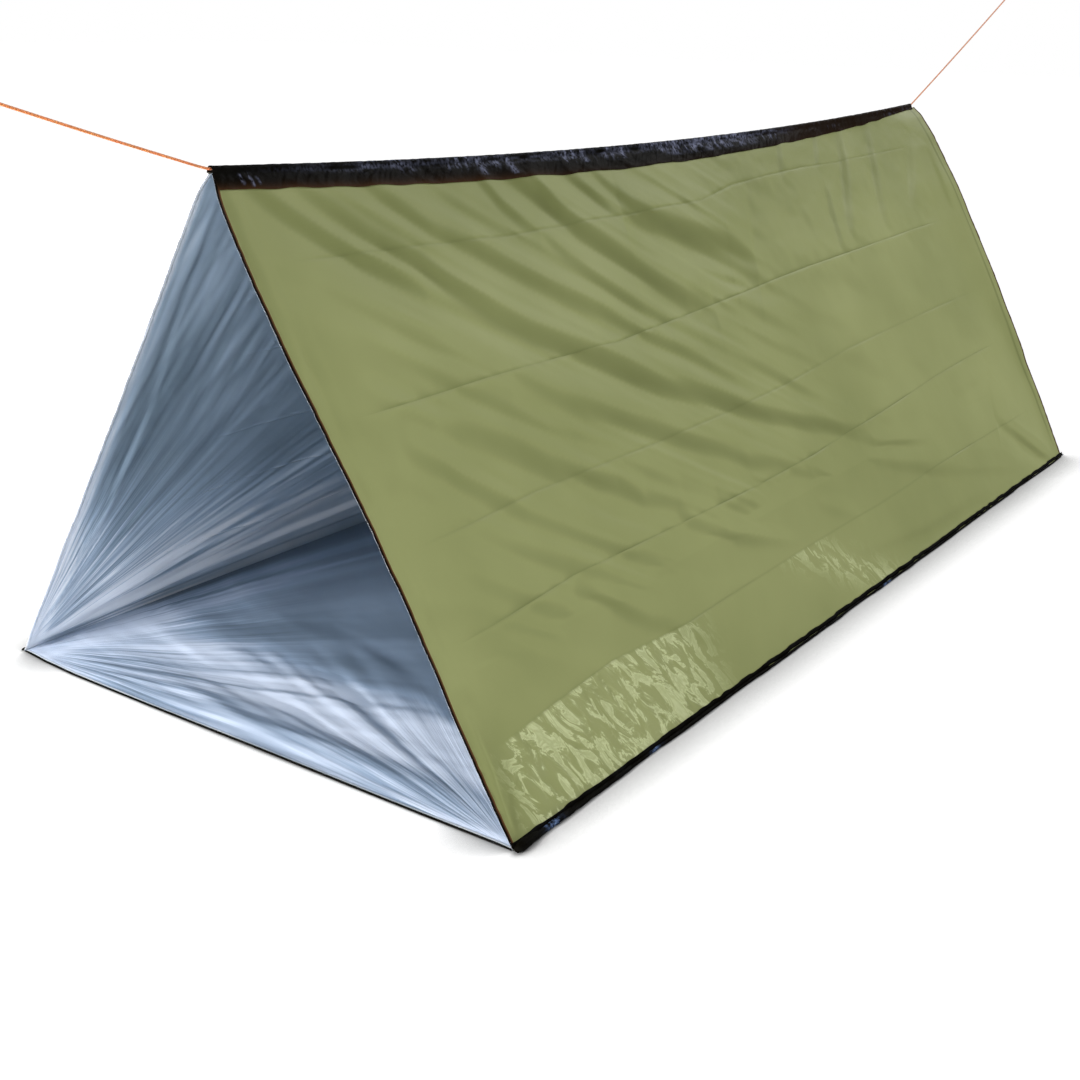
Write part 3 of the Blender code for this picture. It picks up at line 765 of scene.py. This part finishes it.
def floor_painted_light(x, y):
    """How pale the floor's silver skin is painted: painted reflection along the front edge and in the rays from the
    two corners, and painted shade further in and along the left foot.
    """
    ahead = y - floor_front(x)
    painted_light = np.interp(ahead, [0.0, 0.05, 0.12, 0.20, 0.30, 0.45, 1.00],
                     [0.58, 0.56, 0.80, 0.84, 0.30, 0.30, 0.36])
    for sign, seed, reach, rays in ((1, 94, 0.80, 22), (-1, 96, 0.60, 24)):
        angle, distance = from_corner(floor_width / 2 - sign * x, ahead)
        fan = soft_noise(angle * rays, distance / 0.35, seed) * ease(distance, 0.05, 0.18)
        painted_light += 0.16 * fan * near_to(distance, reach)
        painted_light += 0.30 * near_to(distance, 0.10)
    painted_light += 0.50 * np.clip(0.30 + soft_noise(angle * 60, distance / 0.4, 97), 0, 1) * ease(angle, 0.78, 0.90) \
        * fall(angle, 0.955, 0.985) * near_to(distance, 0.80) * ease(distance, 0.04, 0.12)
    beside = floor_width / 2 + x
    painted_light += 0.22 * near_to(beside - 0.05 - 0.16 * ahead, 0.012 + 0.07 * ahead) * fall(ahead, 0.35, 0.80)
    painted_light -= 0.14 * near_to(beside, 0.006 + 0.075 * ahead) * ease(ahead, 0.02, 0.10)
    return painted_light


# The columns lie closest near the front open end
share = np.unique(np.concatenate([np.linspace(0, 1, 290), np.linspace(0.004, 0.11, 68)]))
x, share = np.meshgrid(np.linspace(-0.5238, 0.5238, 128), share, indexing="ij")
y = floor_front(x) + (half_length - floor_front(x)) * share
height = floor_height(x, y)
slope = np.gradient(height, axis=1) / np.gradient(y, axis=1)
ground = np.stack([x, y, height], -1)
pull = pull_from(floor_width / 2 - np.abs(x), half_length - np.abs(y))
# The floor's silver is painted paler where its face turns towards the front opening and darker where it turns away:
# painted reflection and shade
painted_light = np.clip(floor_painted_light(x, y) + np.clip(0.40 * slope, -0.12, 0.16), 0, 1)
floor_film = lay_film("floor_film", ground, np.stack([y, x], -1), pull, {"painted_light": painted_light}, 1)

# Black skin of the film: glossy, crinkled, and marked where light catches it or its margin is brown
black, add = new_finish("black film")
place = add("TexCoord", "Object")
patches = add("TexNoise", "Fac", {"Vector": place, "Scale": 22.0, "Detail": 4.0})
depths = add_ramp(add, patches, (0.35, (0.0022, 0.0018, 0.0010)), (0.70, (0.0065, 0.0065, 0.0060)))
browned = mix(add, mark(add, "margin"), depths, (0.150, 0.068, 0.030, 1))
torn = add("TexNoise", "Fac", {"Vector": place, "Scale": 170.0, "Detail": 3.0})
torn_edge = add("MapRange", "Result", {"Value": torn, "From Min": 0.36, "From Max": 0.60})
shone = mix(add, multiply(add, torn_edge, mark(add, "glint")), browned, (0.17, 0.185, 0.27, 1))
# Painted reflection: blue glints where the blue mark is set
blue_glinted = mix(add, multiply(add, torn_edge, mark(add, "blue_glint")), shone, (0.13, 0.20, 0.38, 1))
crinkles = add("TexNoise", "Fac", {"Vector": place, "Scale": 130.0, "Detail": 5.0, "Distortion": 0.8})
relief = add("Bump", "Normal", {"Strength": 0.6, "Distance": 0.0010, "Height": crinkles})
set_inputs(black.node_tree.nodes["Principled BSDF"], {
    "Base Color": blue_glinted, "Roughness": 0.24, "Specular IOR Level": 0.0015, "Normal": relief})

# The floor's silver is duller than the walls', and its colours are the walls' made darker and bluer: a shaded copy
# of the same film
floor_silver = silver.copy()
floor_silver.name = "silver floor film"
set_inputs(floor_silver.node_tree.nodes["Principled BSDF"], {"Metallic": 0.25, "Roughness": 0.42})
for stop, colour in zip(floor_silver.node_tree.nodes["tones"].color_ramp.elements,
                        ((0.05, 0.075, 0.11), (0.15, 0.20, 0.265), (0.30, 0.385, 0.51), (0.66, 0.73, 0.86))):
    stop.color = (*colour, 1)
floor_film.data.materials.append(black)
floor_film.data.materials.append(floor_silver)
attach(floor_film, "tent_floor")
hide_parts("floor_sheet")


# Edgings. A narrow strip of black film is folded over each open end of the walls and the floor, and taped
# along it. It shows as a thin black line with a brown inner margin.
def lay_tube(name, rings, margin, inner=None, blue_glint=None):
    """A closed strip or roll through rings of points, capped at both ends, with margin and painted blue glints for
    each point.

    inner says which of the faces round a ring are silver instead of black.
    """
    count, around = rings.shape[:2]
    index = np.arange(count * around).reshape(count, around)
    beside = np.roll(index, -1, axis=1)
    around_sides = np.stack([index[:-1], beside[:-1], beside[1:], index[1:]], -1).reshape(-1, 4)
    marks = {"margin": margin, "blue_glint": 0 * margin if blue_glint is None else blue_glint, "painted_light": 0.85 + 0 * margin}
    faces = around_sides.tolist() + [index[0][::-1].tolist(), index[-1].tolist()]
    piece = new_piece(name, rings, faces, marks)
    mesh = piece.data
    body = bmesh.new()
    body.from_mesh(mesh)
    bmesh.ops.recalc_face_normals(body, faces=body.faces)
    body.to_mesh(mesh)
    body.free()
    mesh.materials.append(black)
    if inner is not None:
        mesh.materials.append(silver)
        for face in mesh.polygons[:(count - 1) * around]:
            face.material_index = int(inner[face.index % around])
    return piece


# The edging's section, as distance in from the film's edge and height out of the film, in millimetres
edging_section = np.array([
    (6.0, 0.60), (4.0, 0.70), (2.0, 0.75), (0.6, 0.75), (-0.4, 0.50), (-0.7, 0.0), (-0.4, -0.50), (0.6, -0.75),
    (2.0, -0.75), (4.0, -0.70), (6.0, -0.60), (6.0, -0.30), (2.0, -0.30), (-0.1, -0.28), (-0.1, 0.28), (2.0, 0.30),
    (6.0, 0.30),
]) / 1000
inner_margin = np.array([1, 0.5, 0, 0, 0, 0, 0, 0, 0, 0.5, 1, 1, 0, 0, 0, 0, 1.0])
edging_inner = np.array([0, 0, 0, 0, 0, 1, 1, 1, 1, 1, 1, 1, 1, 0, 0, 0, 0])
floor_inner = np.array([1, 1, 0, 0, 0, 0, 0, 0, 0, 0, 0, 0, 0, 0, 0, 0, 1])
for side, hand, proud in sides:
    for end, edge, inward in (("front", front_edge, 1), ("rear", rear_edge, -1)):
        at_knee = np.linspace(knee_at - 0.012, knee_at + 0.012, 17)
        up = np.unique(np.concatenate([np.linspace(0.0004, film_top, 330), at_knee]))
        s = up[:, None] + 0 * edging_section[None, :, 0]
        y = edge(side, s) + inward * edging_section[None, :, 0]
        ripple = 0.0004 * soft_noise(s / 0.012, y * 0, 60)
        edging = lay_tube(
            f"{hand}_{end}_edging",
            wall_points(side, y, s, proud(y, s) + ripple + edging_section[None, :, 1]),
            inner_margin[None, :] + 0 * s,
            edging_inner,
        )
        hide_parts(f"{hand}_skirt_{end}_binding", f"{hand}_wall_{end}_binding")
        fold_at_knee(edging, side)

for end, edge, inward in (("front", floor_front, 1), ("rear", lambda x: half_length + 0 * x, -1)):
    across = np.linspace(-0.5215, 0.5215, 300)
    x = across[:, None] + 0 * edging_section[None, :, 0]
    y = edge(x) + inward * edging_section[None, :, 0]
    z = np.maximum(floor_height(x, y) + 2.2 * edging_section[None, :, 1] - 0.0008, 0.0003)
    hem = lay_tube(f"floor_{end}_edging", np.stack([x, y, z], -1), inner_margin[None, :] + 0 * x, floor_inner)
    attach(hem, "tent_floor")
    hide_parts(f"floor_{end}_hem")


# Foot strips and rolls. Black film is taped along the foot of each wall. The floor's own black edge is
# rolled up outside it, crumpled and pulled tight at the front corner, and slack and thin at the rear.
for side, hand, proud in sides:
    strip_section = np.array([
        (0.0003, 0.45), (0.003, 0.45), (0.006, 0.5), (0.0079, 0.45),
        (0.0083, 0.95), (0.006, 1.0), (0.003, 0.95), (0.0003, 0.85),
    ])
    y = np.linspace(-1.2165, 1.2100, 620)[:, None] + 0 * strip_section[None, :, 0]
    s = strip_section[None, :, 0] + 0.0012 * soft_noise(y / 0.02, 0 * y, 61)
    s = np.maximum(s, 0.0002)
    height = proud(y, s) + strip_section[None, :, 1] / 1000
    strip = lay_tube(f"{hand}_foot_strip", wall_points(side, y, s, height), 0 * y)
    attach(strip, f"{hand}_foot")
    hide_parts(f"{hand}_floor_strip")

    rounding = 0.006 * np.sin(np.linspace(0, np.pi / 2, 8))
    stations = np.concatenate([-1.222 + rounding[:-1], np.linspace(-1.216, 1.190, 900), 1.190 + rounding[1:]])
    round_end = np.sqrt(np.clip(1 - np.clip((-1.2155 - stations) / 0.0068, 0, 1) ** 2, 0.02, 1))
    round_end *= np.sqrt(np.clip(1 - np.clip((stations - 1.1895) / 0.0068, 0, 1) ** 2, 0.02, 1))
    y = stations[:, None]
    around = np.linspace(0, 2 * np.pi, 24, endpoint=False)[None, :]
    size = np.interp(y, [-1.22, -1.0, -0.4, 0.3, 1.2], [0.0062, 0.0038, 0.0024, 0.0024, 0.0014])
    size = size * (1 + 0.22 * soft_noise(y / 0.05, 0 * y, 62 + side))
    if side < 0:
        size = size * (0.4 + 0.6 * ease(y, -1.21, -1.12))
    facets = 1 - 2 * np.abs(soft_noise(y / 0.013 + 1.1 * np.cos(around), 2 * np.sin(around) + 8, 64 + side))
    reach = size * round_end[:, None] * (0.86 + 0.24 * facets)
    height = np.maximum(size * 0.92 + reach * np.sin(around), 0.0004)
    x = floor_width / 2 + 0.0012 + size * 0.75 + reach * np.cos(around) + 0.0015 * soft_noise(y / 0.11, 0 * y, 66)
    x = np.maximum(x, floor_width / 2 + 0.0020 - 0.5 * height)
    # Painted blue glints at three places along the right roll
    blue_glint = sum(near_to(y - place, wide) for place, wide in ((-1.133, 0.014), (-0.857, 0.012), (0.036, 0.014)))
    blue_glint = np.clip(blue_glint * (0.9 + 0.8 * soft_noise(y / 0.009, 3 + np.sin(around), 68)), 0, 1) * (side > 0)
    roll = lay_tube(f"{hand}_floor_roll", np.stack([side * x, y + 0 * x, height], -1), 0 * x, blue_glint=blue_glint + 0 * x)
    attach(roll, "tent_floor")
    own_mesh(roll)


# Ridge band. Black film lies over the cord and down both sides in a band that is widest at mid-length.
# It is pulled tight along the cord, and hangs in small slanting ribs below it.
def band_width(y):
    t = y / half_length
    return 0.031 * t * (t - 1) / 2 + 0.044 * (1 - t * t) + 0.011 * t * (t + 1) / 2


cord_cover = 0.0038
along = np.linspace(-half_length - 0.0005, half_length + 0.0005, 800)[None, :]
down = np.concatenate([[1.0, 0.985, 0.96], np.linspace(0.92, 0.12, 20), [0.06, 0.0]])[:, None]
bands = {}
for side in (1, -1):
    y = along + 0 * down
    hem_wave = 0.0016 * soft_noise(y / 0.045, 0 * y, 71 + side)
    width = band_width(y) + hem_wave
    if side < 0:
        width = width * (0.25 + 0.75 * ease(y, -1.215, -1.16))
    drop = down * width
    ribs = 1 - 2 * np.abs(soft_noise((y + 0.9 * side * drop) / 0.012, drop / 0.030 + 4, 72 + side))
    ribs += 0.5 * soft_noise((y + 0.6 * drop) / 0.0045, drop / 0.012, 74 + side)
    proud = (right_proud if side > 0 else left_proud)(y, 1.0 - drop) + 0.0011
    proud += (cord_cover - 0.0011) * near_to(drop, 0.006)
    proud += 0.0008 * np.clip(ribs + 0.4, 0, 2) * np.sin(np.pi * np.clip(down, 0, 1)) ** 0.7
    bands[side] = wall_points(side, y, 1.0 - drop, proud)
over = []
for angle in np.linspace(np.pi / 2 - wall_angle, np.pi / 2 + wall_angle, 9)[1:-1]:
    height = ridge_height - ridge_sag * (1 - (along / half_length) ** 2)
    reach = cord_cover + 0.0004 * soft_noise(along / 0.01, 0 * along + 3 * angle, 76)
    over.append(np.concatenate([reach * np.cos(angle), along, height + reach * np.sin(angle)], 0).T)
over_rows = np.zeros((len(over), along.size))
points = np.concatenate([bands[1], np.stack(over), bands[-1][::-1]])
rows = len(points)
y = along + np.zeros((rows, 1))
v = np.linspace(0, 1, rows)[:, None] + 0 * y
hem_glow = np.concatenate([down[:, 0] ** 3, np.zeros(len(over)), down[::-1, 0] ** 3])[:, None]
widths_down = down * band_width(along)
drop_out = np.concatenate([widths_down, 0.004 + 0 * over_rows, widths_down[::-1]])
slanted = y - 0.15 * drop_out
glint = np.clip(soft_noise(slanted / 0.0052, drop_out / 0.014 + 3, 78) - 0.22, 0, 1) * 1.6
glint *= np.clip(soft_noise(slanted / 0.075, drop_out / 0.05, 79) + 0.35, 0, 1)
glint *= ease(y, -1.00, -0.60) * (1 - 0.75 * ease(y, 0.30, 0.60)) * fall(drop_out, 0.014, 0.028)
glint += 0.34 * ease(y, -0.80, -0.60) * fall(y, 0.35, 0.60) * fall(drop_out, 0.010, 0.019) \
    * np.clip(0.55 + 0.9 * soft_noise(y / 0.030, drop_out / 0.005, 81), 0, 1)
glint += 0.62 * ease(y, -0.08, 0.00) * fall(y, 0.26, 0.40) * fall(drop_out, 0.022, 0.031) \
    * np.clip(0.50 + 0.9 * soft_noise((y - 0.5 * drop_out) / 0.014, drop_out / 0.011, 82), 0, 1)
glint += 0.55 * near_to(y + 0.90, 0.13) * near_to(drop_out - 0.006, 0.005) \
    * np.clip(0.75 + soft_noise(y / 0.035, drop_out / 0.006, 80), 0, 1)
slants = [
    (-1.176, 0.0016, 0.010, 0.027), (-1.160, 0.0020, 0.008, 0.030), (-1.147, 0.0014, 0.014, 0.027),
    (-0.640, 0.0070, 0.002, 0.034), (-0.560, 0.0080, 0.004, 0.036),
    (-0.330, 0.0070, 0.001, 0.026), (-0.200, 0.0070, 0.001, 0.024),
]
for spot, wide, low, high in slants:
    inside = ease(drop_out, low - 0.002, low + 0.002) * fall(drop_out, high - 0.003, high + 0.001)
    glint += 0.8 * inside * near_to(slanted - spot, wide)
brown = hem_glow**2 * (0.30 - 0.24 * ease(y, -0.75, -0.2)) + 0.06 * ease(y, 0.3, 0.6)
marks = {"margin": brown, "glint": np.clip(glint, 0, 1)}
band = lay_film("ridge_band", points, np.stack([y, v], -1), np.stack([v, y], -1), marks, 1, 0.0005)
band.data.materials.append(black)
band.data.materials.append(black)
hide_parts("ridge_sleeve", "right_ridge_band", "left_ridge_band")
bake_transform(band)


# Studio. A plain pale floor under a white surround. The floor looks white to the camera, keeps a soft shadow
# where the tent touches it, and lights the tent from below as pale paper would.
bpy.ops.mesh.primitive_plane_add(size=60.0, location=(0, 0, 0))
studio_floor = bpy.context.object
studio_floor.name = "studio_floor"
pale, add = new_finish("studio floor")
seen = add("LightPath", "Is Camera Ray")
open_sky = add("AmbientOcclusion", "AO", {"Distance": 0.11}, samples=12)
deeper = add("Math", "Value", {0: open_sky, 1: 5.0}, operation="POWER")
camera_tone = mix(add, seen, (0.93, 0.93, 0.93, 1), (0.26, 0.26, 0.26, 1))
set_inputs(pale.node_tree.nodes["Principled BSDF"], {
    "Base Color": camera_tone, "Roughness": 0.9, "Specular IOR Level": 0.0, "Emission Color": (1, 1, 1, 1),
    "Emission Strength": multiply(add, multiply(add, seen, 0.86), deeper)})
studio_floor.data.materials.append(pale)

surround = bpy.data.worlds.new("white surround")
surround.use_nodes = True
add = partial(add_node, surround.node_tree)
shown = add("Math", "Value", {0: add("LightPath", "Is Camera Ray"), 1: add("LightPath", "Is Glossy Ray")},
            operation="MAXIMUM")
strength = add("MapRange", "Result", {"Value": shown, "To Min": 0.28, "To Max": 1.0})
set_inputs(surround.node_tree.nodes["Background"], {"Color": (1, 1, 1, 1), "Strength": strength})
bpy.context.scene.world = surround


# Lamps. A broad key behind and above the right side grazes that wall, so that its folds show. A large soft lamp
# in front lights the open end, a low one rakes the wrinkles inside, and a weak one evens out the far end.
toward_lamp = Vector((0.20, 0.80, 0.57))
bpy.ops.object.light_add(type="SUN", location=6 * toward_lamp)
lamp = bpy.context.object
lamp.name = "soft key"
lamp.rotation_euler = toward_lamp.to_track_quat("Z", "Y").to_euler()
lamp.data.angle = 0.45
lamp.data.energy = 2.25
for name, place, aim, size, energy in (
    ("front lamp", (-0.8, -4.4, 1.5), (0, -0.7, 0.1), 1.6, 250.0),
    ("low lamp", (0.6, -3.8, 0.32), (-0.42, -0.5, 0.14), 0.5, 52.0),
    ("rear fill", (3.6, 2.6, 1.0), (0.35, 0.8, 0.3), 1.5, 25.0),
):
    bpy.ops.object.light_add(type="AREA", location=place)
    lamp = bpy.context.object
    lamp.name = name
    lamp.rotation_euler = (Vector(place) - Vector(aim)).to_track_quat("Z", "Y").to_euler()
    lamp.data.shape = "DISK"
    lamp.data.size = size
    lamp.data.energy = energy


bpy.context.scene.view_settings.view_transform = "Standard"
